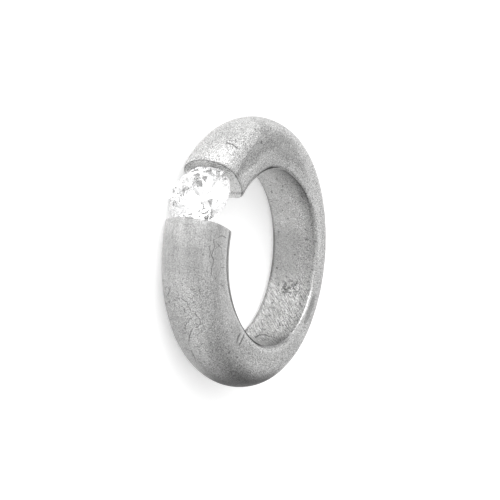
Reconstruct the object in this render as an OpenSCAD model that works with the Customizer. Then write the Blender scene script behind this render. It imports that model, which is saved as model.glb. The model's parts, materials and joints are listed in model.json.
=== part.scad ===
// Tension set ring: a heavy domed band, cut open, whose two ends grip a round brilliant.
// The ring lies on its side: its axis is Z, and the stone looks towards -Y.

/* [Finger hole] */
// Inside diameter of the ring
hole_d = 17.2; // [15:0.1:21]

/* [Band section] */
// Thickness of the band at the stone
top_t = 5.3; // [5:0.05:5.5]
// Thickness of the band opposite the stone
back_t = 3.75; // [3.65:0.05:4.1]
// Radius of the crown of the dome
crown_r = 3.25; // [3.1:0.05:3.5]
// Radius of the rounded shoulders between the crown and the flat sides
shoulder_r = 2.0; // [1.7:0.05:2.2]
// Length of the flat side between the shoulder and the rounding towards the finger
side_flat = 0.8; // [0.5:0.05:1]
// Radius of the rounding of the sides towards the finger
comfort_r = 3.3; // [3.1:0.05:3.6]

/* [Gap] */
// Angle between the two end faces, as seen from the ring's axis
gap_angle = 23.7; // [22:0.1:25]

/* [Stone] */
// Diameter of the stone at its girdle
stone_d = 6; // [5.8:0.05:6.2]
// Distance of the girdle's plane from the ring's axis
girdle_at = 12.15; // [12:0.05:12.3]
// Thickness of the girdle, as a part of the stone's diameter
girdle_part = 0.035; // [0.03:0.005:0.05]
// Width of the table from corner to corner, as a part of the stone's diameter
table_part = 0.57; // [0.53:0.01:0.63]
// Slope of the crown's main facets
crown_slope = 34.5; // [32:0.5:36]
// Slope of the pavilion's main facets
pavilion_slope = 40.8; // [40:0.1:42]
// How far the star facets reach from the table towards the girdle
star_part = 0.5; // [0.45:0.01:0.55]
// How far the lower girdle facets reach from the girdle towards the point
lower_part = 0.77; // [0.72:0.01:0.82]
// Turn of the stone about its own axis
stone_turn = 9; // [0:1:44]
// Room between the stone and the seats in the end faces
seat_clear = 0.03; // [0.02:0.01:0.05]

/* [Hidden] */
$fn = 144;

hole_r = hole_d / 2;
// The outer form is turned about an axis that lies nearer to the stone than the hole's axis
outer_r = hole_r + (top_t + back_t) / 2;
outer_shift = (top_t - back_t) / 2;

// The crown's arc runs into the shoulder's arc in the direction 4 across, 3 up
meet = [4, 3] / 5;
// Places in the section, where x is the distance from the axis of the outer form
crown_x = outer_r - crown_r;
shoulder_x = crown_x + (crown_r - shoulder_r) * meet.x;
shoulder_y = (crown_r - shoulder_r) * meet.y;
half_w = shoulder_y + shoulder_r;
comfort_x = shoulder_x - side_flat;
comfort_y = half_w - comfort_r;
section_x = hole_r - outer_shift - 0.5;

// Cutters and wedges reach this far beyond what they cut
spare = 4;

// The stone's own frame: Z is its axis, towards the table, and the girdle is at Z = 0
stone_r = stone_d / 2;
edge_z = stone_d * girdle_part / 2;
table_r = stone_r * table_part;
table_z = edge_z + (stone_r - table_r) * tan(crown_slope);
culet_z = edge_z + stone_r * tan(pavilion_slope);
// The main facets are a step apart, and all other corners lie at whole quarters of it
step = 45;
half_cos = cos(step / 2);
quarter_cos = cos(step / 4);
table_side = table_r * half_cos;
star_r = table_side + (stone_r - table_side) * star_part;
star_z = edge_z + (stone_r - star_r * half_cos) * tan(crown_slope);
lower_r = stone_r * (1 - lower_part);
lower_z = edge_z + (stone_r - lower_r * half_cos) * tan(pavilion_slope);
// The girdle is thinnest in the middle of each girdle facet
upper_dip = stone_r * (1 - quarter_cos) * (star_z - edge_z) / ((stone_r - star_r) * quarter_cos);
lower_dip = stone_r * (1 - quarter_cos) * (lower_z - edge_z) / ((stone_r - lower_r) * quarter_cos);

// The upper half of the section without the crown
module half_section() {
    translate([shoulder_x, shoulder_y])
        intersection() {
            circle(shoulder_r);
            polygon([[0, 0], meet * 2 * spare, [spare, 2 * spare], [0, 2 * spare]]);
        }
    polygon([[section_x, 0],
             [crown_x, 0],
             [shoulder_x, shoulder_y],
             [shoulder_x, half_w],
             [comfort_x, half_w],
             [comfort_x, shoulder_y],
             [section_x, shoulder_y]]);
    intersection() {
        translate([comfort_x, comfort_y])
            circle(comfort_r);
        translate([section_x, 0])
            square([comfort_x - section_x, half_w + spare]);
    }
}

module band_section() {
    half_section();
    mirror([0, 1])
        half_section();
    translate([crown_x, 0])
        intersection() {
            circle(crown_r);
            polygon([[0, 0], [meet.x, -meet.y] * 2 * spare, meet * 2 * spare]);
        }
}

// The wedge between the two end faces
module gap() {
    reach = outer_r + outer_shift + spare;
    aside = reach * tan(gap_angle / 2);
    linear_extrude(2 * half_w + spare, center = true)
        polygon([[0, 0], [-aside, -reach], [aside, -reach]]);
}

// Puts the stone's own frame where the ring holds the stone
module stone_place() {
    translate([0, -girdle_at, 0])
        rotate([90, 0, 0])
            rotate([0, 0, stone_turn])
                children();
}

// The form that is cut out of both ends, a little larger than the stone at every turn
module seat() {
    c = seat_clear;
    rotate_extrude()
        polygon([[0, -culet_z - 2 * c],
                 [lower_r + c, -lower_z - c],
                 [stone_r + c, -edge_z - c / 2],
                 [stone_r + c, edge_z + c / 2],
                 [star_r + c, star_z + c],
                 [table_r + c, table_z + c],
                 [0, table_z + c]]);
}

module band() {
    color([0.76, 0.76, 0.76])
        difference() {
            translate([0, -outer_shift, 0])
                rotate_extrude()
                    band_section();
            cylinder(h = 2 * half_w + spare, r = hole_r, center = true);
            gap();
            stone_place()
                seat();
        }
}

// A point of the stone, in a direction counted in quarter steps
function at(r, quarters, z) = [r * cos(quarters * step / 4), r * sin(quarters * step / 4), z];

// The round brilliant: a table, 8 stars, 8 mains and 16 girdle facets above the girdle,
// and 16 girdle facets and 8 mains below it
module brilliant() {
    mains = 360 / step;
    around = 4 * mains;
    points = concat(
        [for (k = [0 : mains - 1]) at(table_r, 4 * k, table_z)],
        [for (k = [0 : mains - 1]) at(star_r, 4 * k + 2, star_z)],
        [for (k = [0 : mains - 1]) at(lower_r, 4 * k + 2, -lower_z)],
        [for (j = [0 : around - 1]) at(stone_r, j, edge_z - (j % 2) * upper_dip)],
        [for (j = [0 : around - 1]) at(stone_r, j, -edge_z + (j % 2) * lower_dip)],
        [[0, 0, -culet_z]]);
    // Where each kind of point stands in the list
    function table(k) = (k + mains) % mains;
    function star(k) = mains + (k + mains) % mains;
    function lower(k) = 2 * mains + (k + mains) % mains;
    function top_edge(j) = 3 * mains + (j + around) % around;
    function bottom_edge(j) = 3 * mains + around + (j + around) % around;
    culet = 3 * mains + 2 * around;
    faces = concat(
        [[for (k = [mains - 1 : -1 : 0]) table(k)]],
        [for (k = [0 : mains - 1]) each [
            [table(k), table(k + 1), star(k)],
            [table(k), star(k), top_edge(4 * k), star(k - 1)],
            [culet, lower(k - 1), bottom_edge(4 * k), lower(k)]]],
        [for (k = [0 : mains - 1], half = [0, 2]) let (j = 4 * k + half) each [
            [star(k), top_edge(j + 2), top_edge(j + 1), top_edge(j)],
            [lower(k), bottom_edge(j), bottom_edge(j + 1), bottom_edge(j + 2)]]],
        [for (j = [0 : around - 1])
            [top_edge(j), top_edge(j + 1), bottom_edge(j + 1), bottom_edge(j)]]);
    polyhedron(points, faces);
}

module stone() {
    color([0.93, 0.95, 0.97])
        stone_place()
            brilliant();
}

band();
stone();
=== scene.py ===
"""The looks of the tension set ring: its worn satin metal band and its clear round brilliant."""
import json
import math
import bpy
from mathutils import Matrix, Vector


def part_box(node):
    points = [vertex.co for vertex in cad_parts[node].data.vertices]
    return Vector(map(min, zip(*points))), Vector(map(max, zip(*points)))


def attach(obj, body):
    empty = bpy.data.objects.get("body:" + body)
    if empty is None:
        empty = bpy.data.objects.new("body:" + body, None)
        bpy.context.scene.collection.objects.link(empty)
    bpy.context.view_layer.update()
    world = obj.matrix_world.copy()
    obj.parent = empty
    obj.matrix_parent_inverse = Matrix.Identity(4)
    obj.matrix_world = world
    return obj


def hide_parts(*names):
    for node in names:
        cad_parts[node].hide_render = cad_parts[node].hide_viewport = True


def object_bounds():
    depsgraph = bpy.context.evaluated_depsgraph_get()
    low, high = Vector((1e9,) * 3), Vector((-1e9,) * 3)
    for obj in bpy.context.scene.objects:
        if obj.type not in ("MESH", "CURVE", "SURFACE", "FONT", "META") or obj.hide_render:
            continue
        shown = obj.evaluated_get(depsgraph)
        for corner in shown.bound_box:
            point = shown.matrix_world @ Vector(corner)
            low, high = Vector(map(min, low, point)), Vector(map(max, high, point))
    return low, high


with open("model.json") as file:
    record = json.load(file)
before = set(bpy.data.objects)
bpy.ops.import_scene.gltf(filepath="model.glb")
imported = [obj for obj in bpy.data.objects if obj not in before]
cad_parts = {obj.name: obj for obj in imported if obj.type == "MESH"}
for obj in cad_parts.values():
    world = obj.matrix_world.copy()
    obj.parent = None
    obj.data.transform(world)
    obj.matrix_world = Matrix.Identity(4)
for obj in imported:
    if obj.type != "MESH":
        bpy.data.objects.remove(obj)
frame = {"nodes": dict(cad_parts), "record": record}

from types import SimpleNamespace

import bmesh
import bpy
import numpy as np
from mathutils import Matrix, Vector, noise

CAD_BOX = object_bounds()
MM = 0.001

# The ring's sizes, from the frame
BAND_LOW, BAND_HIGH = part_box("band")
_, STONE_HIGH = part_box("stone")
HOLE_R = frame["record"]["mounts"][0]["dims"]["r_mm"] * MM
OUTER_R = (BAND_HIGH.x - BAND_LOW.x) / 2
OUTER_SHIFT = OUTER_R - BAND_HIGH.y
HALF_W = BAND_HIGH.z

# The section's arcs, as in the part's source
SHOULDER_R = 2.0 * MM
SIDE_FLAT = 0.8 * MM
COMFORT_R = 3.3 * MM
MEET_ACROSS, MEET_UP = 0.8, 0.6
CROWN_R = (HALF_W - SHOULDER_R * (1 - MEET_UP)) / MEET_UP
CROWN_X = OUTER_R - CROWN_R
SHOULDER_X = CROWN_X + (CROWN_R - SHOULDER_R) * MEET_ACROSS
SHOULDER_Z = HALF_W - SHOULDER_R
COMFORT_X = SHOULDER_X - SIDE_FLAT
COMFORT_Z = HALF_W - COMFORT_R
MEET_ANGLE = math.atan2(MEET_UP, MEET_ACROSS)

# The end faces and the stone, as in the part's source
END_ANGLE = math.radians(23.7 / 2)
GIRDLE_AT = 12.15 * MM
STONE_R = STONE_HIGH.z
GIRDLE_HALF = 0.105 * MM
CULET_DEPTH = 2.695 * MM
TABLE_HEIGHT = 0.992 * MM
SEAT_ROOM = 0.03 * MM

# The camera has the photograph's angle to the ring
CAMERA_AT = Vector((31.0, -71.3, 42.2)) * MM
CAMERA_TARGET = Vector((-0.35, -0.46, -0.5)) * MM
PICTURE_UP = Vector((-0.8964, -0.4380, -0.0686))
CAMERA_BACK = (CAMERA_AT - CAMERA_TARGET).normalized()
CAMERA_RIGHT = PICTURE_UP.cross(CAMERA_BACK).normalized()
CAMERA_UP = CAMERA_BACK.cross(CAMERA_RIGHT)
CAMERA_LENS, SENSOR_WIDTH = 64.8, 36
CLIP_START = 0.005


def rho_at(q, angle):
    """Distance from the ring's axis of what lies q from the outer form's axis, in one direction."""
    aside = OUTER_SHIFT * math.sin(angle)
    return OUTER_SHIFT * math.cos(angle) + math.sqrt(q * q - aside * aside)


def arc(x, z, r, start, stop, count):
    """Points of an arc of the section, without the first one."""
    turns = [start + (stop - start) * i / count for i in range(1, count + 1)]
    return [(x + r * math.cos(t), z + r * math.sin(t)) for t in turns]


def blend_number(low, high, share):
    """Goes evenly from low to high while the share goes from 0 to 1."""
    return low + (high - low) * share


# Points along each stretch of half a section, from the middle of the wall to the crown
WALL_STEPS, ROUND_STEPS, COMFORT_STEPS = 9, 6, 12
FLAT_STEPS, SHOULDER_STEPS, CROWN_STEPS = 4, 12, 11
# Rounding of the edge between wall and side: at either end, and elsewhere
FIRST_ROUND, LAST_ROUND, SIDE_ROUND = 0.28 * MM, 0.55 * MM, 0.13 * MM
# It is worn rounder by this much about this angle
MORE_ROUND, ROUND_AT, ROUND_OVER = 0.30 * MM, math.pi + 1.0, 1.3
# The end's larger rounding fades out over this angle
END_FADE = math.radians(14)


def half_section(angle):
    """Half of the section in the plane at this angle from the stone, as (rho, z) pairs."""
    q_wall = math.sqrt(HOLE_R ** 2 + OUTER_SHIFT ** 2 - 2 * HOLE_R * OUTER_SHIFT * math.cos(angle))
    turn_wall = math.acos((q_wall - COMFORT_X) / COMFORT_R)
    corner_z = COMFORT_Z + COMFORT_R * math.sin(turn_wall)
    from_end = min(abs(angle), 2 * math.pi - abs(angle)) - END_ANGLE
    share = math.exp(-(max(from_end, 0) / END_FADE) ** 2 * 2)
    side = SIDE_ROUND + MORE_ROUND * math.exp(-((angle - ROUND_AT) / ROUND_OVER) ** 2)
    cut = blend_number(side, FIRST_ROUND if 0 < angle < math.pi else LAST_ROUND, share)
    wall_end = corner_z - cut
    points = [(HOLE_R, wall_end * i / WALL_STEPS) for i in range(WALL_STEPS + 1)]
    turn_start = turn_wall - cut / COMFORT_R
    side = (COMFORT_X + COMFORT_R * math.cos(turn_start), COMFORT_Z + COMFORT_R * math.sin(turn_start))
    side = (rho_at(side[0], angle), side[1])
    for i in range(1, ROUND_STEPS + 1):
        t = i / ROUND_STEPS
        weights = ((1 - t) ** 2, 2 * t * (1 - t), t * t)
        corners = ((HOLE_R, wall_end), (HOLE_R, corner_z), side)
        points.append(tuple(sum(w * c[k] for w, c in zip(weights, corners)) for k in (0, 1)))
    outside = arc(COMFORT_X, COMFORT_Z, COMFORT_R, turn_start, math.pi / 2, COMFORT_STEPS)
    outside += [(COMFORT_X + SIDE_FLAT * i / FLAT_STEPS, HALF_W) for i in range(1, FLAT_STEPS + 1)]
    outside += arc(SHOULDER_X, SHOULDER_Z, SHOULDER_R, math.pi / 2, MEET_ANGLE, SHOULDER_STEPS)
    outside += arc(CROWN_X, 0, CROWN_R, MEET_ANGLE, 0, CROWN_STEPS)
    points += [(rho_at(q, angle), z) for q, z in outside]
    return points


def whole_section(angle):
    """The closed outline of the section as an array of (rho, z), and its outward directions."""
    half = half_section(angle)
    loop = np.array(half + [(r, -z) for r, z in half[-2:0:-1]])
    along = np.roll(loop, -1, 0) - np.roll(loop, 1, 0)
    along /= np.linalg.norm(along, axis=1)[:, None]
    return loop, np.stack([-along[:, 1], along[:, 0]], 1)


# Sections between the two ends
STATIONS = 420
# Rounding of the rim of each end face: the last end's, and the first end's at its inner and outer edge
LAST_RIM, FIRST_RIM_INNER, FIRST_RIM_OUTER = 0.22 * MM, 0.06 * MM, 0.26 * MM
# The first end's rim grows outwards, over this much from this distance from the axis
RIM_GROWS_FROM, RIM_GROWS_OVER = 11.0 * MM, 2.6 * MM
# Towards the band's upper side it shrinks over this much, and ends at this height
RIM_ENDS_OVER, RIM_ENDS_AT = 2.0 * MM, 2.6 * MM
RIM_STEPS = 5
# Room between the rims and the first plain section, in rim roundings
RIM_ROOM = 1.3
# Unevenness as (waves per mm, height in mm, place in the noise)
WAVES = [(0.33, 0.012, Vector((7, 1, 3))), (1.1, 0.004, Vector((2, 9, 5)))]


def radial(angle):
    """The direction away from the ring's axis at this angle from the stone."""
    return np.array([math.sin(angle), -math.cos(angle), 0.0])


def place(loop, out, aside=0.0, side_way=None):
    """The section's outline in the plane of this direction, moved out of the plane where asked."""
    points = loop[:, :1] * out + np.stack([0 * loop[:, 1], 0 * loop[:, 1], loop[:, 1]], 1)
    if side_way is not None:
        points = points + aside[:, None] * side_way
    return points


def band_rings():
    """All sections of the band from end to end, with rounded rims at both ends."""
    first, last = END_ANGLE, 2 * math.pi - END_ANGLE
    rings = []
    for angle, towards in ((first, 1), (last, -1)):
        loop, outward = whole_section(angle)
        out = radial(angle)
        away = towards * np.array([math.cos(angle), math.sin(angle), 0.0])
        radius = np.full(len(loop), LAST_RIM)
        if towards > 0:
            share = np.clip((loop[:, 0] - RIM_GROWS_FROM) / RIM_GROWS_OVER, 0, 1)
            share = share * np.clip((RIM_ENDS_AT - loop[:, 1]) / RIM_ENDS_OVER, 0, 1)
            radius = blend_number(FIRST_RIM_INNER, FIRST_RIM_OUTER, share)
        rim = []
        for i in range(RIM_STEPS + 1):
            t = math.pi / 2 * i / RIM_STEPS
            inset = radius * (1 - math.sin(t))
            depth = radius * (1 - math.cos(t))
            rim.append(place(loop - outward * inset[:, None], out, depth, away))
        rings.append(rim)
    skip = FIRST_RIM_OUTER / HOLE_R * RIM_ROOM
    angles = np.linspace(first + skip, last - skip, STATIONS)
    middle = []
    for angle in angles:
        loop, _ = whole_section(angle)
        middle.append(place(loop, radial(angle)))
    return rings[0] + middle + rings[1][::-1]


def wobble(points):
    """Small hand-made unevenness of the metal, as a shift along the surface's outward direction."""
    shifts = np.empty(len(points))
    for i, p in enumerate(points):
        q = Vector(p) / MM
        shifts[i] = sum(height * noise.noise(q * rate + start) for rate, height, start in WAVES)
    return shifts * MM


def mesh_object(name, vertices, faces):
    """A new mesh object in the scene."""
    mesh = bpy.data.meshes.new(name)
    mesh.from_pydata([tuple(v) for v in vertices], [], faces)
    mesh.validate()
    thing = bpy.data.objects.new(name, mesh)
    bpy.context.scene.collection.objects.link(thing)
    return thing


def band_body():
    """The band without its seats, as one closed mesh."""
    rings = band_rings()
    count = len(rings[0])
    vertices = np.concatenate(rings)
    faces = []
    for k in range(len(rings) - 1):
        for j in range(count):
            n = (j + 1) % count
            faces.append((k * count + j, k * count + n, (k + 1) * count + n, (k + 1) * count + j))
    last = (len(rings) - 1) * count
    faces.append(tuple(range(count))[::-1])
    faces.append(tuple(last + j for j in range(count)))
    body = mesh_object("band_satin", vertices, faces)
    mesh = body.data
    normals = np.array([v.normal for v in mesh.vertices])
    # The end faces and their rims stay even
    keep = np.ones(len(vertices))
    ends = RIM_STEPS + 1
    keep[:ends * count] = 0
    keep[-ends * count:] = 0
    vertices = vertices + normals * (wobble(vertices) * keep)[:, None]
    mesh.vertices.foreach_set("co", vertices.ravel())
    mesh.update()
    return body


# The stone's outline above the girdle: the kites' corners and the table's edge, as shares of its radius
KITE_SHARE, KITE_HEIGHT = 0.76, 0.715 * MM
TABLE_SHARE = 0.57
SEAT_SEGMENTS = 160
# Edges of the metal that turn more than this stay sharp
SHARP_TURN = math.radians(28)


def seat_cutter():
    """The form of the seats: the stone's outline turned about the stone's axis, a little larger."""
    outline = [(0, -CULET_DEPTH - 2 * SEAT_ROOM),
               (STONE_R + SEAT_ROOM, -GIRDLE_HALF - SEAT_ROOM / 2),
               (STONE_R + SEAT_ROOM, GIRDLE_HALF + SEAT_ROOM / 2),
               (STONE_R * KITE_SHARE + SEAT_ROOM, KITE_HEIGHT + SEAT_ROOM),
               (STONE_R * TABLE_SHARE + SEAT_ROOM, TABLE_HEIGHT + SEAT_ROOM),
               (0, TABLE_HEIGHT + SEAT_ROOM)]
    vertices, rows = [], []
    for r, height in outline:
        row = []
        for i in range(SEAT_SEGMENTS if r > 0 else 1):
            t = 2 * math.pi * i / SEAT_SEGMENTS
            row.append(len(vertices))
            vertices.append((r * math.cos(t), -GIRDLE_AT - height, r * math.sin(t)))
        rows.append(row)
    faces = []
    for low, high in zip(rows, rows[1:]):
        for i in range(SEAT_SEGMENTS):
            n = (i + 1) % SEAT_SEGMENTS
            corners = (low[i % len(low)], low[n % len(low)], high[n % len(high)], high[i % len(high)])
            faces.append(tuple(dict.fromkeys(corners)))
    cutter = mesh_object("seat_cutter", vertices, faces)
    work = bmesh.new()
    work.from_mesh(cutter.data)
    bmesh.ops.recalc_face_normals(work, faces=work.faces)
    work.to_mesh(cutter.data)
    work.free()
    return cutter


def make_band():
    """The band with its two seats cut, shaded, without its material."""
    body, cutter = band_body(), seat_cutter()
    cut = body.modifiers.new("seats", "BOOLEAN")
    cut.operation = "DIFFERENCE"
    cut.solver = "EXACT"
    cut.object = cutter
    bpy.context.view_layer.update()
    done = bpy.data.meshes.new_from_object(body.evaluated_get(bpy.context.evaluated_depsgraph_get()))
    body.modifiers.clear()
    body.data = done
    bpy.data.objects.remove(cutter)
    shade_band(body)
    return body


def shade_band(body):
    """Smooth everywhere but round the flat end faces and in the seats."""
    work = bmesh.new()
    work.from_mesh(body.data)
    bmesh.ops.recalc_face_normals(work, faces=work.faces)
    flat = [Vector((math.cos(END_ANGLE), math.sin(END_ANGLE), 0)) * s for s in (1, -1)]
    flat = [Vector((f.x * t, f.y, 0)).normalized() for f in flat for t in (1, -1)]

    def on_end(face):
        return any(abs(face.normal.dot(f)) > 0.99999 for f in flat) and face.calc_center_median().y < 0

    for face in work.faces:
        face.smooth = True
    for edge in work.edges:
        if len(edge.link_faces) != 2:
            continue
        a, b = edge.link_faces
        edge.smooth = edge.calc_face_angle(0) < SHARP_TURN and on_end(a) == on_end(b)
    work.to_mesh(body.data)
    work.free()


# The light tent: soft lobes of light as (direction, strength), in the camera's right, up and back directions
TENT = [((0, 1, 1), 2.66), ((1, 1, -1), 0.67), ((1, 1, 1), 0.57)]
TENT_BASE, LOBE_SHARPNESS = 0.6, 5.0
# The dark hole in the tent round the photographer's lens
HOLE_DEPTH, HOLE_SHARPNESS = 1.3, 60.0
# Paths of light in the stone are long
BOUNCES = 32

# How far the floor reaches each way, in metres, and how it looks
FLOOR_REACH = 8.0
FLOOR_COLOR = (0.90, 0.90, 0.90, 1)
FLOOR_GLOW, FLOOR_ROUGHNESS = 0.36, 0.6
DIAMOND_IOR = 2.42


class Net:
    """Short calls that add shader nodes to one tree."""

    def __init__(self, tree):
        self.tree = tree

    def put(self, value, socket):
        """Links another node's output, or sets a number or colour."""
        if isinstance(value, bpy.types.NodeSocket):
            self.tree.links.new(value, socket)
        else:
            socket.default_value = value

    def math(self, operation, *values):
        node = self.tree.nodes.new("ShaderNodeMath")
        node.operation = operation
        for value, socket in zip(values, node.inputs):
            self.put(value, socket)
        return node.outputs[0]

    def add(self, *values):
        total = values[0]
        for value in values[1:]:
            total = self.math("ADD", total, value)
        return total

    def times(self, *values):
        total = values[0]
        for value in values[1:]:
            total = self.math("MULTIPLY", total, value)
        return total

    def scaled(self, value, factor, shift=0.0):
        return self.math("MULTIPLY_ADD", value, factor, shift)

    def total(self, start, values, shares):
        """The start plus each named value times its share."""
        for name, share in shares.items():
            start = self.scaled(values[name], share, start)
        return start

    def vector(self, operation, a, b=(0, 0, 0)):
        node = self.tree.nodes.new("ShaderNodeVectorMath")
        node.operation = operation
        self.put(a, node.inputs[0])
        self.put(b, node.inputs[1])
        return node.outputs["Value" if operation in ("DOT_PRODUCT", "LENGTH", "DISTANCE") else "Vector"]

    def stretch(self, place, factor):
        node = self.tree.nodes.new("ShaderNodeVectorMath")
        node.operation = "SCALE"
        self.put(place, node.inputs[0])
        self.put(factor, node.inputs["Scale"])
        return node.outputs["Vector"]

    def parts(self, place):
        node = self.tree.nodes.new("ShaderNodeSeparateXYZ")
        self.put(place, node.inputs[0])
        return node.outputs[:]

    def joined(self, x, y, z):
        node = self.tree.nodes.new("ShaderNodeCombineXYZ")
        for value, socket in zip((x, y, z), node.inputs):
            self.put(value, socket)
        return node.outputs[0]

    def step(self, value, start, stop, low=0.0, high=1.0):
        """Goes smoothly from low to high while the value goes from start to stop."""
        node = self.tree.nodes.new("ShaderNodeMapRange")
        node.interpolation_type = "SMOOTHSTEP"
        node.clamp = False
        falling = start > stop
        self.put(value, node.inputs[0])
        node.inputs[1].default_value = stop if falling else start
        node.inputs[2].default_value = start if falling else stop
        self.put(high if falling else low, node.inputs[3])
        self.put(low if falling else high, node.inputs[4])
        return node.outputs[0]

    def noise(self, place, scale, detail=2.0, rough=0.5, color=False):
        node = self.tree.nodes.new("ShaderNodeTexNoise")
        self.put(place, node.inputs["Vector"])
        node.inputs["Scale"].default_value = scale
        node.inputs["Detail"].default_value = detail
        node.inputs["Roughness"].default_value = rough
        return node.outputs["Color" if color else "Fac"]

    def wave(self, place, scale, detail, rough):
        """Noise from -1 to 1."""
        return self.scaled(self.noise(place, scale, detail, rough), 2.0, -1.0)

    def cells(self, place, scale, feature="F1", output="Distance"):
        node = self.tree.nodes.new("ShaderNodeTexVoronoi")
        node.feature = feature
        self.put(place, node.inputs["Vector"])
        node.inputs["Scale"].default_value = scale
        return node.outputs[output]

    def mixed(self, share, a, b):
        node = self.tree.nodes.new("ShaderNodeMix")
        self.put(share, node.inputs[0])
        self.put(a, node.inputs[2])
        self.put(b, node.inputs[3])
        return node.outputs[0]

    def here_mm(self):
        node = self.tree.nodes.new("ShaderNodeTexCoord")
        return self.stretch(node.outputs["Object"], 1 / MM)


def nodes_of(name):
    """A new material with its net and its shader."""
    material = bpy.data.materials.new(name)
    material.use_nodes = True
    tree = material.node_tree
    tree.nodes.clear()
    out = tree.nodes.new("ShaderNodeOutputMaterial")
    shader = tree.nodes.new("ShaderNodeBsdfPrincipled")
    tree.links.new(shader.outputs["BSDF"], out.inputs["Surface"])
    return material, Net(tree), shader


# How much light the clean metal gives back, and at most, and its slight warmth
METAL_TONE, BRIGHTEST = 0.52, 0.92
WARM_GREEN, WARM_BLUE = 0.998, 0.992
# No place and no grain gets darker than these shares of it
DARKEST_PLACE, DARKEST_GRAIN = 0.08, 0.2
# What dark and light marks add to the tone, as a share of it
DARK_MARK, LIGHT_MARK = -0.72, 0.6

# The ring's own coordinates, in mm: along the ring from the place opposite the stone (-31.7 at the
# upper cut face, 31.7 at the lower one), away from the ring's axis (rho) and across the band (z).
# Radius at which an angle round the ring is read as a length along it
AROUND = 10.8
# The same for an angle round the section, and the section's middle
ACROSS, SECTION_MIDDLE = 2.5, 10.9
# Borders that slant: this much along the ring for each mm outwards, from this distance from the axis
LEAN, LEAN_FROM = 2.5, 9.5
# The wall's slanted strokes: cosine and sine of their slant, waves per mm along and across them, height
STROKE_SLANT = (0.80, 0.60)
STROKE_SLOW, STROKE_FAST, STROKE_RELIEF = 0.7, 6, 0.012
# The hairs round the outside are drawn out along the ring
HAIR_STRETCH = (0.35, 5.0, 5.0)
# The directions of hairlines, in radians from the ring's length, how thin they are, and their waves per mm
HAIR_TURNS, HAIR_THIN = (0.15, 1.1, 2.3), 0.006
HAIR_SLOW, HAIR_FAST = 0.22, 1.7
# Further than any mark reaches, in mm
FAR_AWAY = 9.0
# The shade in the corner of the upper cut face, as (from the face, from the axis, across)
NOOK_AT = (0.0, 12.25, 2.08)
# The dark patch on the side strip, in the ring's coordinates with the length squeezed by this factor
PATCH_SQUEEZE, PATCH_AT = 0.2, (0.38, 9.38, 2.75)
# What faces this way, down and a little to the right in the picture, is painted darker at the lower end,
# # as painted shade
DOWNWARDS = tuple(CAMERA_RIGHT * 0.35 - CAMERA_UP)
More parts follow.
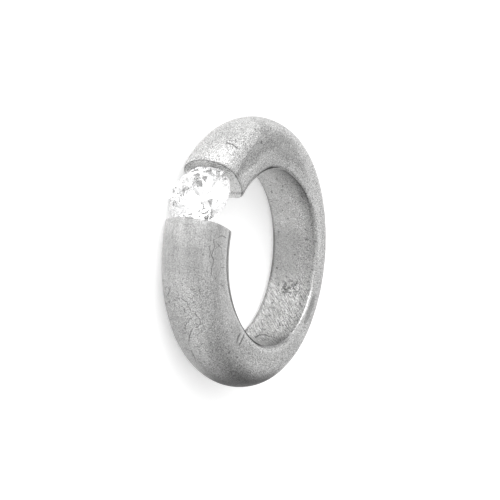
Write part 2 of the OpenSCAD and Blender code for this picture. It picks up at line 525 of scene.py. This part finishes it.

# Where the metal differs from place to place, much of it as painted light and shade, as each group
# # says. Each region is a product of smooth steps. A step has a coordinate, where it starts and where it
# # stops, and its values there if they aren't 0 and 1. A bare name is a mask that ring_place or
# # border_place makes.
REGIONS = {
    # The flat cut faces, much lighter nearer the axis and left darker towards the outside, next to the
    #     # stone, as painted shade; their rims, worn lighter with a painted highlight; and the painted shade
    #     in
    #     # the upper face's corner
    "cut_side": [("from_cut", 0.01, 0.001), ("rho", 12.7, 11.9, -0.08, 0.90)],
    "rim": [("from_cut", 0.20, 0.15), ("from_cut", 0.03, 0.05), "rim_share"],
    "near_rim_line": [("from_cut", 0.04, 0.02), ("from_cut", 0.001, 0.003), ("rho", 8.80, 9.10)],
    "far_rim_line": [("from_cut", 0.17, 0.20), ("from_cut", 0.27, 0.24, 0.0, 0.6), "upper",
                     ("rho", 8.80, 9.10)],
    "nook": [("from_nook", 0.34, 0.12)],
    # The edges between wall and side: worn bright with a painted highlight in one place, darkened with
    #     # painted shade in others, also in their rounding near the upper cut face; the far edge's dark
    #     outline
    #     # is painted shade too
    "worn_highlit_edge": [("rho", 8.92, 8.78), ("rho", 8.605, 8.64), ("along", -0.8, 0.8),
                  ("along", 6.5, 3.5, 0.45, 1.0), ("along", 15.0, 13.5)],
    "shaded_edge": [("from_edge", 0.24, 0.12), ("from_edge", -0.22, -0.08), ("rho", 8.60, 8.64),
                   ("along", 14.0, 17.0), ("z", 0.0, 1.0)],
    "pale_strip": [("from_edge", 0.14, 0.28), ("from_edge", 0.80, 0.50), ("along", 6.5, 9.0)],
    "hollow": [("from_hollow", 9.12, 8.86), ("from_hollow", 8.58, 8.66), ("along", -23.3, -24.8),
               ("z", 0.0, 1.0)],
    "inner_side": [("z", 2.30, 2.45), ("rho", 9.7, 9.2), ("along", -24.5, -22.0), ("along", -3.0, -6.0)],
    "far_edge": [("z", -2.22, -2.40), ("rho", 8.95, 8.75)],
    # The top of the hole: a dark line of painted shade on the wall's edge that turns inwards, and a lip
    #     # past it that is painted lighter, as painted light
    "edge_line": [("z", 2.02, 2.22), ("z", 2.50, 2.36), "wall", ("along", -4.0, -9.0),
                  ("along", -20.0, -17.0, 1.0, 0.45), "beside_top"],
    "turned_line": [("past_line", -0.7, -0.2, 0.0, 0.85), ("past_line", 0.5, 0.0), "wall", "at_top"],
    "lip": [("past_line", 0.0, 0.6), ("rho", 9.0, 8.8), "at_top", ("along", -23.2, -21.6)],
    # Broad differences on the outside: the lower end, the front, the top and the sides. The dark lower end,
    #     # where the metal faces down, the dark lower outline and the darker metal under the stone are
    #     painted
    #     # shade; the lighter right side and far side are painted light, and the glow at the top is a painted
    #     # highlight
    "low_end": [("faces_down", 0.46, 1.04), ("along", 9.0, 12.5), ("along", 21.5, 16.5, 0.66, 1.0),
                "outside"],
    "right_side": [("lean", -18.0, -13.5), ("along", 7.5, 4.5), ("z", 1.8, 2.6), "outside"],
    "under_stone": [("along", 28.5, 30.5), ("rho", 12.2, 13.0), ("z", 0.0, 0.9)],
    "front": [("front_along", 31.4, 30.2), ("along", 27.2, 28.4), ("rho", 12.9, 13.4)],
    "cut_band": [("along", 30.2, 30.7), ("rho", 12.4, 12.9), ("z", 0.0, 0.8)],
    "front_low": [("along", 27.6, 26.6), ("along", 21.5, 24.0), ("z", 0.2, 1.4), ("rho", 12.3, 12.8)],
    "low_outline": [("along", 29.5, 24.5), ("along", 12.0, 16.0), ("z", 1.5, -0.4), "outside"],
    "dome": [("rho", 10.8, 11.8), ("along", -25.0, -22.0), ("along", -11.0, -15.0)],
    "top_streak": [("along", -30.3, -29.7), ("along", -27.0, -28.4), ("z", -0.5, 0.4), ("z", 2.2, 1.4)],
    "top_glow": [("along", -30.2, -30.8), ("rho", 13.0, 13.5), ("z", -1.2, -0.4)],
    "low_side": [("along", 21.0, 23.5), ("rho", 11.8, 11.2), ("z", 2.3, 2.6), ("rho", 9.5, 9.9)],
    "low_right": ["outside", ("z", 2.0, 2.5), ("along", 3.0, 6.0), ("along", 18.0, 15.0)],
    "far_side": ["outside", ("z", -0.4, -1.6), ("along", -30.0, -24.0, -0.8, 1.0)],
    "side_patch": [("from_patch", 0.54, 0.34), "outside"],
    # Broad differences on the wall of the hole: painted shade all over it, deeper along its rim, low down
    #     # and at its top, and painted light where it gets most light
    "wall": ["wall"],
    "wall_rim": ["wall", ("z", 0.9, 1.9), ("along", -4.0, -13.0)],
    "wall_low": ["wall", ("along", 6.5, 9.3), ("z", -2.2, 0.8)],
    "wall_mid": ["wall", ("along", -9.6, -7.0), ("along", -0.3, -3.0)],
    "wall_far": ["wall", ("along", 0.3, 3.0), ("z", 0.6, -0.9)],
    "wall_top": ["wall", ("z", -1.2, 2.2), ("along", -9.0, -16.0)],
    "wall_open": ["wall", ("z", 2.1, 1.1), "opened"],
    # The burnished upper end, and the darker metal that starts at its slanting border
    "burnished": [("past", 0.35, -0.35), "upper"],
    "shadowed": [("past", -0.3, 0.3), ("lean", -14.0, -18.5), ("past_side", -0.3, 0.5), "outside",
                 ("along", -19.0, -25.0, 0.4, 1.0)],
    "side_wedge": [("past_side", 0.2, -0.5), ("along", -21.0, -25.0), ("along", -26.0, -29.5, 1.0, 2.2),
                   "outside"],
    "near_border": [("past", -1.2, 0.2), ("past", 2.6, 0.4), "outside"],
    "before_border": [("past", -5.5, -1.0), ("past", 1.0, -0.2), "outside"],
}

# What each region adds to the metal's tone, painted light and shade among them
PLACE_TONES = {
    "burnished": 0.03, "shadowed": -0.20, "near_border": -0.10, "side_wedge": 0.17, "front": -0.19,
    "low_side": 0.16, "front_low": 0.08, "cut_band": -0.12, "low_outline": -0.27, "dome": -0.15,
    "top_streak": -0.13, "top_glow": 0.05, "inner_side": 0.20, "lip": 0.62, "wall": -0.14,
    "wall_mid": -0.11, "wall_far": -0.10, "worn_highlit_edge": 0.30, "shaded_edge": -0.82, "pale_strip": 0.20,
    "hollow": -0.60, "crisp_edge": -0.21, "far_edge": -0.35, "wall_low": -0.36, "wall_top": -0.28,
    "side_patch": -0.48, "low_end": -0.95, "right_side": 0.26, "under_stone": -0.12, "far_side": 0.07,
    "low_right": 0.11, "wall_rim": -0.10, "wall_open": 0.18, "rim": 0.16, "rim_line": -0.45,
    "cut_side": 1.0, "nook": -0.30,
}
# What the even patterns add to it
PATTERN_TONES = {"broad": 0.08, "specks": -0.30, "web": -0.16, "line": -0.20}
# Roughness of the plain metal, and what is added to it, also where there is grime in the marks and
# # painted shade on the edges
PLAIN_ROUGHNESS = 0.50
ROUGHNESS = {"grain": 0.05, "blotch": 0.06, "burnished": -0.04, "worn_highlit_edge": -0.08, "rim": -0.08,
             "dark": 0.15, "grime_and_shade": 0.25}
# Heights of the relief, in mm
RELIEF = {"fine": 0.0045, "grain": 0.008, "blotch": 0.012, "line": -0.004, "web": -0.004,
          "dark": -0.03, "light": 0.03}

# Scratches, cracks, pits and dents as (half width, depth, points); the points are in mm:
# along the ring, from its axis, and across it
DARK_MARKS = [
    (0.036, 0.9, [(-29.74, 13.57, 1.29), (-29.66, 13.45, 1.54), (-29.62, 13.31, 1.78), (-29.65, 13.12, 2.04),
        (-29.7, 12.93, 2.23)]),
    (0.125, 0.9, [(-26.77, 11.78, 2.72)]),
    (0.04, 0.54, [(-26.42, 12.98, 2.04), (-26.59, 12.76, 2.27)]),
    (0.062, 0.63, [(-26.81, 12.35, 2.54)]),
    (0.024, 0.9, [(30.66, 11.93, 2.73), (30.81, 11.68, 2.75), (30.89, 11.18, 2.75), (30.82, 10.72, 2.75)]),
    (0.028, 0.81, [(30.44, 12.4, 2.59), (29.85, 12.25, 2.64), (29.24, 12.47, 2.54), (28.95, 12.24, 2.63),
        (28.65, 12.26, 2.62), (28.2, 12.38, 2.55), (27.76, 12.42, 2.53)]),
    (0.028, 0.81, [(30.15, 11.95, 2.72), (29.85, 11.27, 2.75)]),
    (0.028, 0.63, [(29.75, 12.12, 2.68), (30.16, 11.5, 2.75)]),
    (0.028, 0.54, [(29.88, 12.7, 2.41), (29.46, 12.57, 2.49), (29.02, 12.61, 2.45)]),
    (0.02, 0.72, [(28.98, 12.14, 2.66), (28.97, 11.12, 2.75), (29.11, 10.63, 2.75)]),
    (0.024, 0.63, [(29.69, 11.24, 2.76), (29.11, 10.97, 2.75)]),
    (0.024, 0.63, [(28.7, 11.26, 2.75), (28.19, 11.15, 2.75), (27.88, 11.38, 2.75), (27.6, 11.69, 2.74)]),
    (0.024, 0.63, [(28.27, 11.15, 2.75), (28.19, 10.55, 2.75)]),
    (0.024, 0.72, [(26.73, 11.1, 2.75), (26.61, 10.78, 2.75), (26.83, 10.4, 2.74)]),
    (0.024, 0.54, [(27.35, 12.18, 2.62), (27.07, 12.37, 2.53)]),
    (0.028, 0.81, [(26.75, 13.57, -0.96), (26.43, 13.5, -1.13), (26.17, 13.38, -1.39)]),
    (0.024, 0.72, [(26.16, 13.68, 0.25), (25.99, 13.64, 0.51), (25.92, 13.59, 0.77), (25.66, 13.57, 0.77),
        (25.29, 13.52, 0.92)]),
    (0.024, 0.63, [(25.46, 13.15, 1.74), (25.67, 13.05, 1.91), (25.7, 12.82, 2.17)]),
    (0.028, 0.72, [(25.05, 13.39, 1.25), (24.8, 13.31, 1.4), (24.58, 13.22, 1.55), (24.22, 13.22, 1.52),
        (24, 13.31, 1.31), (23.93, 13.41, 1.04)]),
    (0.028, 0.72, [(23.86, 13.49, 0.76), (23.43, 13.52, 0.44), (23.15, 13.52, 0.25), (22.67, 13.5, 0.01)]),
    (0.024, 0.54, [(23.35, 13.53, -0.3), (23.46, 13.55, 0.16), (23.34, 13.52, 0.41)]),
    (0.028, 0.63, [(21.76, 13.43, -0.14), (21.32, 13.4, -0.13), (20.45, 13.32, -0.33)]),
    (0.024, 0.45, [(24.32, 13.6, 0.04), (23.92, 13.58, 0.11)]),
    (0.085, 0.9, [(20.64, 9.8, 2.71), (20.73, 10.28, 2.75), (20.53, 10.66, 2.75)]),
    (0.085, 0.9, [(19.73, 9.35, 2.63), (19.93, 9.92, 2.73), (19.95, 10.55, 2.75)]),
    (0.1, 0.63, [(20.62, 11.93, 2.57)]),
    (0.048, 0.81, [(5.18, 8.6, 0.52), (5.72, 8.6, 0.83)]),
    (0.075, 0.81, [(6.08, 8.6, 1.65)]),
    (0.1, 0.9, [(2, 8.6, -1.38)]),
    (0.04, 0.63, [(3.58, 8.6, 0.09), (4.27, 8.6, 0.26)]),
    (0.075, 0.9, [(9.35, 8.59, -0.58), (8.44, 8.6, -0.51), (8.14, 8.6, 0.06), (8.56, 8.6, 0.63)]),
]
# Two dents' bright insides, painted as highlights, with dark marks beside them
LIGHT_MARKS = [
    (0.04, 0.63, [(20.09, 9.35, 2.62), (20.26, 10.04, 2.74), (20.2, 10.51, 2.75)]),
    (0.04, 0.63, [(9.13, 8.6, -0.27), (8.69, 8.6, -0.06), (8.57, 8.6, 0.35)]),
]


def from_stroke(net, place, start, end):
    """The distance from one straight stroke."""
    way = Vector(end) - Vector(start)
    from_start = net.vector("SUBTRACT", place, start)
    share = net.vector("DOT_PRODUCT", from_start, tuple(way / way.length_squared))
    share = net.math("MINIMUM", net.math("MAXIMUM", share, 0.0), 1.0)
    return net.vector("DISTANCE", from_start, net.stretch(tuple(way), share))


def marks_mask(net, place, marks):
    """The depth of the marks: strokes through their points, or spots."""
    deepest = 0.0
    for half_width, depth, points in marks:
        away = net.vector("DISTANCE", place, points[0]) if len(points) == 1 else FAR_AWAY
        for start, end in zip(points, points[1:]):
            away = net.math("MINIMUM", away, from_stroke(net, place, start, end))
        deepest = net.math("MAXIMUM", deepest, net.step(away, half_width * 2.0, half_width * 0.5, 0.0, depth))
    return deepest


def centred(net, place, amount):
    """A random shift of up to half the amount each way, to bend what is drawn over it."""
    return net.stretch(net.vector("SUBTRACT", place, (0.5, 0.5, 0.5)), amount)


def hairlines(net, lengthways, across, turn, thin):
    """Fine lines that run at one angle to the ring's length, here and there."""
    c, s = math.cos(turn), math.sin(turn)
    slow = net.add(net.times(lengthways, HAIR_SLOW * c), net.times(across, HAIR_SLOW * s))
    fast = net.add(net.times(lengthways, -HAIR_FAST * s), net.times(across, HAIR_FAST * c))
    wave = net.noise(net.joined(slow, fast, turn), 1.0, 2, 0.5)
    line = net.step(net.math("ABSOLUTE", net.math("SUBTRACT", wave, 0.5)), thin, thin * 0.2)
    return net.times(line, net.step(net.noise(net.joined(lengthways, across, turn * 3), 0.9, 2), 0.50, 0.62))


def ring_place(net):
    """Where a point of the metal is in the ring's own coordinates, in mm, and which face it is on."""
    at = SimpleNamespace(here=net.here_mm())
    x, y, at.z = net.parts(at.here)
    at.along = net.times(net.math("ARCTAN2", x, y), AROUND)
    at.rho = net.vector("LENGTH", net.joined(x, y, 0.0))
    at.ring = net.joined(at.along, at.rho, at.z)
    at.across = net.times(net.math("ARCTAN2", at.z, net.add(at.rho, -SECTION_MIDDLE)), ACROSS)
    at.wall = net.step(at.rho, 8.95, 8.68)
    at.outside = net.step(at.wall, 1.0, 0.0)
    at.from_cut = net.add(net.times(net.math("ABSOLUTE", x), math.cos(END_ANGLE)),
                          net.times(y, math.sin(END_ANGLE)))
    at.upper = net.step(at.along, 0.0, -1.0)
    at.rim_share = net.add(0.1, at.upper)
    at.lean = net.add(at.along, net.scaled(at.rho, LEAN, -LEAN_FROM * LEAN))
    # The same place bent a little and shaken a little, for irregular forms
    at.bent = net.vector("ADD", at.ring, centred(net, net.noise(at.ring, 1.1, 2, color=True), 0.5))
    at.jitter = net.vector("ADD", at.ring, centred(net, net.noise(at.ring, 3.0, 1, color=True), 0.5))

    # Distances from things that don't run straight
    at.from_edge = net.math("SUBTRACT", at.rho, net.step(at.along, 20.0, 29.0, 8.68, 10.0))
    at.from_hollow = net.add(at.rho, net.step(at.along, -30.5, -26.5, -0.62, 0.0))
    at.from_nook = net.vector("DISTANCE", net.joined(at.from_cut, at.rho, at.z), NOOK_AT)
    patch_place = net.joined(net.times(at.along, PATCH_SQUEEZE), at.rho, at.z)
    at.from_patch = net.vector("DISTANCE", patch_place, PATCH_AT)
    at.front_along = net.add(at.along, net.step(at.z, -0.8, 0.2, 0.0, 0.9))
    line_at = net.step(at.along, -19.5, -13.0, 1.95, 2.33)
    at.past_line = net.math("MAXIMUM", net.scaled(net.math("SUBTRACT", at.z, line_at), 4.0),
                            net.add(net.times(at.along, -1.2), net.times(at.z, 1.38), -27.1))

    # The top of the hole and what is beside it, and the part of the wall that gets most light, where the
    #     # wall is painted lighter as painted light
    at.at_top = net.times(net.step(at.along, -24.5, -23.0), net.step(at.along, -12.0, -14.0),
                          net.step(at.z, 0.3, 1.0))
    at.beside_top = net.add(net.step(at.along, -14.0, -12.0), net.step(at.along, -21.8, -23.2))
    at.opened = net.add(net.step(at.along, -7.0, -10.0, 0.0, 0.75), net.step(at.along, -2.5, 0.5), 0.35)
    normal = net.tree.nodes.new("ShaderNodeTexCoord").outputs["Normal"]
    at.faces_down = net.vector("DOT_PRODUCT", normal, DOWNWARDS)
    return at


def border_place(net, at, blotch):
    """How far a point is past the burnished end's border, and past the line where the side starts."""
    border = net.add(net.step(at.rho, 13.4, 12.4, 0.0, -1.2), net.step(at.rho, 12.3, 11.7, 0.0, -6.0), -25.2)
    at.past = net.add(at.along, net.times(border, -1.0), net.times(blotch, 1.6))
    side_from = net.add(net.step(at.along, -26.5, -20.5, 10.6, 9.2),
                        net.step(at.along, -32.2, -28.6, 1.1, 0.0))
    at.past_side = net.math("SUBTRACT", at.rho, side_from)


def region(net, at, parts):
    """The product of a region's steps and masks."""
    factors = [getattr(at, part) if isinstance(part, str) else net.step(getattr(at, part[0]), *part[1:])
               for part in parts]
    return net.times(*factors)


def patterns(net, at):
    """The satin's grain, blotches and tarnish, hairs round the outside, and slanted strokes on the wall."""
    along_hairs = net.vector("MULTIPLY", at.ring, HAIR_STRETCH)
    cosine, sine = STROKE_SLANT
    slanted = net.joined(
        net.add(net.times(at.along, cosine * STROKE_SLOW), net.times(at.z, sine * STROKE_SLOW)),
        net.add(net.times(at.along, -sine * STROKE_FAST), net.times(at.z, cosine * STROKE_FAST)), 0.0)
    lines = [hairlines(net, at.along, at.across, turn, HAIR_THIN) for turn in HAIR_TURNS]
    line = net.math("MAXIMUM", net.math("MAXIMUM", lines[0], lines[1]), lines[2])
    web = net.step(net.cells(at.bent, 2.4, "DISTANCE_TO_EDGE"), 0.06, 0.01)
    return {
        "fine": net.wave(at.here, 11.0, 2, 0.7),
        "grain": net.wave(at.here, 4.2, 3, 0.6),
        "blotch": net.wave(at.bent, 1.3, 3, 0.6),
        "broad": net.wave(at.bent, 0.33, 2, 0.5),
        "hairs": net.wave(along_hairs, 1.6, 2, 0.6),
        "strokes": net.wave(slanted, 1.3, 3, 0.6),
        "stroke_share": net.times(net.step(at.along, -4.0, 1.0, 0.25, 1.55), net.step(at.rho, 8.62, 8.605)),
        "line": net.times(line, at.outside),
        "web": net.times(web, at.outside, net.step(net.noise(at.ring, 1.5, 2), 0.45, 0.62)),
    }


def pits_mask(net, at):
    """Pits all over, larger ones on the wall's upper part, and a corroded patch on its lower part."""
    ring, wall, jitter = at.ring, at.wall, at.jitter
    pit = net.times(net.step(net.cells(jitter, 1.5), 0.24, 0.12),
                    net.step(net.noise(ring, 0.9, 1), 0.48, 0.60), net.mixed(wall, 0.2, 0.7))
    small_pit = net.times(net.step(net.cells(jitter, 3.6), 0.20, 0.06),
                          net.step(net.noise(ring, 1.7, 1), 0.50, 0.62), 0.6)
    pitted = net.times(wall, net.step(at.along, -19.0, -16.5), net.step(at.along, -7.0, -11.0),
                       net.step(at.z, 1.9, 1.2))
    chosen = net.step(net.parts(net.cells(jitter, 2.6, output="Color"))[0], 0.60, 0.62)
    hole = net.times(net.step(net.cells(jitter, 2.6), 0.26, 0.16), chosen, pitted, 0.6)
    patch_place = net.joined(net.times(at.along, 0.75), at.rho, net.times(at.z, 0.5))
    from_patch = net.vector("DISTANCE", patch_place, (-0.30, 8.6, 0.05))
    patchy = net.times(net.step(from_patch, 1.05, 0.60),
                       net.step(net.noise(at.bent, 2.6, 3, 0.65), 0.49, 0.57), wall, 0.75)
    return net.math("MAXIMUM", net.math("MAXIMUM", pit, net.math("MAXIMUM", small_pit, hole)), patchy)


def cracks_mask(net, at):
    """Cracks on the lower front."""
    place = net.vector("ADD", at.bent, centred(net, net.noise(at.ring, 2.6, 4, 0.65, color=True), 0.8))
    crack = net.step(net.cells(place, 0.85, "DISTANCE_TO_EDGE"), 0.030, 0.004)
    where = net.times(net.step(at.along, 16.0, 21.0), net.step(at.along, 28.0, 26.5),
                      net.step(at.rho, 10.3, 11.2), net.step(net.noise(at.ring, 1.1, 3), 0.46, 0.60))
    return net.times(crack, where, 0.8)


def grain_tone(net, at, looks):
    """How the fine patterns lighten and darken the metal, more in some places than in others."""
    along = at.along
    # The side that the photograph doesn't show is plainer
    unseen = net.times(net.step(at.z, 0.9, -0.3), net.step(net.math("ABSOLUTE", along), 25.0, 19.0))
    coarse = net.times(net.step(along, 17.0, 22.0, 2.0, 1.15), net.step(at.wall, 0.0, 1.0, 1.0, 0.85),
                       net.step(along, -1.0, 2.0, 1.0, 1.2), net.scaled(unseen, -0.4, 1.0),
                       net.step(along, 26.0, 29.0, 1.0, 0.60))
    hair_share = net.times(net.step(along, -17.0, -13.0, 0.05, 0.16), net.step(along, 27.0, 29.0, 1.0, 1.5),
                           at.outside)
    satin = net.times(net.add(net.times(looks["fine"], 1.15), net.times(looks["grain"], 0.13)), coarse)
    local = net.add(satin, net.times(looks["blotch"], net.step(along, 20.0, 24.0, 0.14, 0.08)),
                    net.times(looks["hairs"], hair_share), net.times(looks["strokes"], looks["stroke_share"]))
    return net.total(net.add(1.0, local), looks, PATTERN_TONES)


def satin_metal():
    """Worn, satin grey metal with all its marks, and light and shade painted in many places."""
    material, net, shader = nodes_of("worn_satin_metal")
    at = ring_place(net)
    looks = patterns(net, at)
    border_place(net, at, looks["blotch"])
    for name, parts in REGIONS.items():
        looks[name] = region(net, at, parts)
    looks["rim_line"] = net.math("MAXIMUM", looks["near_rim_line"], looks["far_rim_line"])
    looks["crisp_edge"] = net.math("MAXIMUM", looks["edge_line"], looks["turned_line"])
    looks["specks"] = net.times(net.step(net.cells(at.jitter, 5.0), 0.30, 0.12),
                                net.add(0.30, looks["before_border"]))

    wiggly = net.vector("ADD", at.ring, centred(net, net.noise(at.ring, 2.2, 2, color=True), 0.06))
    dark = net.math("MAXIMUM", net.math("MAXIMUM", pits_mask(net, at), cracks_mask(net, at)),
                    marks_mask(net, wiggly, DARK_MARKS))
    light = marks_mask(net, wiggly, LIGHT_MARKS)
    looks.update(dark=dark, light=light)

    place_tone = net.total(1.0, looks, PLACE_TONES)
    tone = net.times(net.math("MAXIMUM", place_tone, DARKEST_PLACE),
                     net.math("MAXIMUM", grain_tone(net, at, looks), DARKEST_GRAIN), METAL_TONE)
    marked = net.times(tone, net.scaled(dark, DARK_MARK, 1.0), net.scaled(light, LIGHT_MARK, 1.0))
    tone = net.math("MINIMUM", marked, BRIGHTEST)
    color = net.joined(tone, net.times(tone, WARM_GREEN), net.times(tone, WARM_BLUE))
    net.put(color, shader.inputs["Base Color"])

    # Grime in the marks isn't metal, and neither is the painted shade on the edges and in the rounding,
    #     # which keeps these dark at grazing angles
    edges = net.math("MAXIMUM", looks["crisp_edge"], looks["far_edge"])
    grime_and_shade = net.math("MAXIMUM", net.math("MAXIMUM", looks["shaded_edge"], net.times(looks["rim_line"], 0.4)),
                     net.math("MAXIMUM", net.times(dark, 0.5), net.times(edges, 0.5)))
    in_hollow = net.times(looks["hollow"], net.step(at.along, -24.0, -27.0, 0.0, 0.75))
    looks["grime_and_shade"] = net.math("MAXIMUM", grime_and_shade, in_hollow)
    net.put(net.scaled(looks["grime_and_shade"], -0.9, 1.0), shader.inputs["Metallic"])
    net.put(net.total(PLAIN_ROUGHNESS, looks, ROUGHNESS), shader.inputs["Roughness"])

    stroke_height = net.times(looks["strokes"], net.times(looks["stroke_share"], STROKE_RELIEF))
    bump = net.tree.nodes.new("ShaderNodeBump")
    bump.inputs["Strength"].default_value = 1.0
    bump.inputs["Distance"].default_value = MM
    net.put(net.total(stroke_height, looks, RELIEF), bump.inputs["Height"])
    net.put(bump.outputs["Normal"], shader.inputs["Normal"])
    return material


def clear_stone():
    """Clear, with a bruted band round the girdle and a trace of wear."""
    material, net, shader = nodes_of("clear_brilliant")
    here = net.here_mm()
    _, y, _ = net.parts(here)
    girdle = net.step(net.math("ABSOLUTE", net.math("SUBTRACT", y, -GIRDLE_AT / MM)), 0.11, 0.09)
    wear = net.step(net.noise(here, 3.0, 3, 0.7), 0.45, 0.75)
    net.put(net.add(net.times(wear, 0.012), net.times(girdle, 0.30)), shader.inputs["Roughness"])
    clear = net.add(0.995, net.times(net.noise(here, 0.8, 2), -0.02), net.times(girdle, -0.06))
    blue = net.math("MINIMUM", net.add(clear, 0.004), 1.0)
    net.put(net.joined(clear, clear, blue), shader.inputs["Base Color"])
    shader.inputs["Transmission Weight"].default_value = 1.0
    shader.inputs["IOR"].default_value = DIAMOND_IOR
    return material


def floor():
    """A plain pale floor that glows a little, which keeps the shadows light."""
    z = CAD_BOX[0][2]
    corners = [(-FLOOR_REACH, -FLOOR_REACH, z), (FLOOR_REACH, -FLOOR_REACH, z),
               (FLOOR_REACH, FLOOR_REACH, z), (-FLOOR_REACH, FLOOR_REACH, z)]
    plane = mesh_object("floor", corners, [(0, 1, 2, 3)])
    material, _, shader = nodes_of("pale_floor")
    shader.inputs["Base Color"].default_value = FLOOR_COLOR
    shader.inputs["Emission Color"].default_value = (1, 1, 1, 1)
    shader.inputs["Emission Strength"].default_value = FLOOR_GLOW
    shader.inputs["Roughness"].default_value = FLOOR_ROUGHNESS
    plane.data.materials.append(material)


def camera():
    """The photograph's camera, above the floor."""
    data = bpy.data.cameras.new("camera")
    data.lens = CAMERA_LENS
    data.sensor_width = SENSOR_WIDTH
    data.clip_start = CLIP_START
    thing = bpy.data.objects.new("camera", data)
    turn = Matrix((CAMERA_RIGHT, CAMERA_UP, CAMERA_BACK)).transposed().to_4x4()
    thing.matrix_world = Matrix.Translation(CAMERA_AT) @ turn
    bpy.context.scene.collection.objects.link(thing)
    bpy.context.scene.camera = thing


def light_tent():
    """Soft light from all sides, stronger in the lobes, with a dark hole where the photographer stands."""
    world = bpy.data.worlds.new("tent")
    world.use_nodes = True
    bpy.context.scene.world = world
    net = Net(world.node_tree)
    way = world.node_tree.nodes.new("ShaderNodeTexCoord").outputs["Generated"]
    light = TENT_BASE
    for (right, up, back), strength in TENT:
        lobe = (CAMERA_RIGHT * right + CAMERA_UP * up + CAMERA_BACK * back).normalized()
        near = net.scaled(net.vector("DOT_PRODUCT", way, tuple(lobe)), LOBE_SHARPNESS, -LOBE_SHARPNESS)
        light = net.add(net.times(net.math("EXPONENT", near), strength), light)
    # The stone's facets mirror this hole
    near = net.scaled(net.vector("DOT_PRODUCT", way, tuple(CAMERA_BACK)), HOLE_SHARPNESS, -HOLE_SHARPNESS)
    light = net.math("MAXIMUM", net.add(net.times(net.math("EXPONENT", near), -HOLE_DEPTH), light), 0.0)
    background = world.node_tree.nodes["Background"]
    background.inputs["Color"].default_value = (1, 1, 1, 1)
    net.put(light, background.inputs["Strength"])


band = make_band()
band.data.materials.append(satin_metal())
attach(band, "root")
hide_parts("band")

stone = frame["nodes"]["stone"]
stone.data.materials.clear()
stone.data.materials.append(clear_stone())

floor()
camera()
light_tent()
bpy.context.scene.view_settings.view_transform = "Standard"
for bounces in ("max_bounces", "glossy_bounces", "transmission_bounces"):
    setattr(bpy.context.scene.cycles, bounces, BOUNCES)
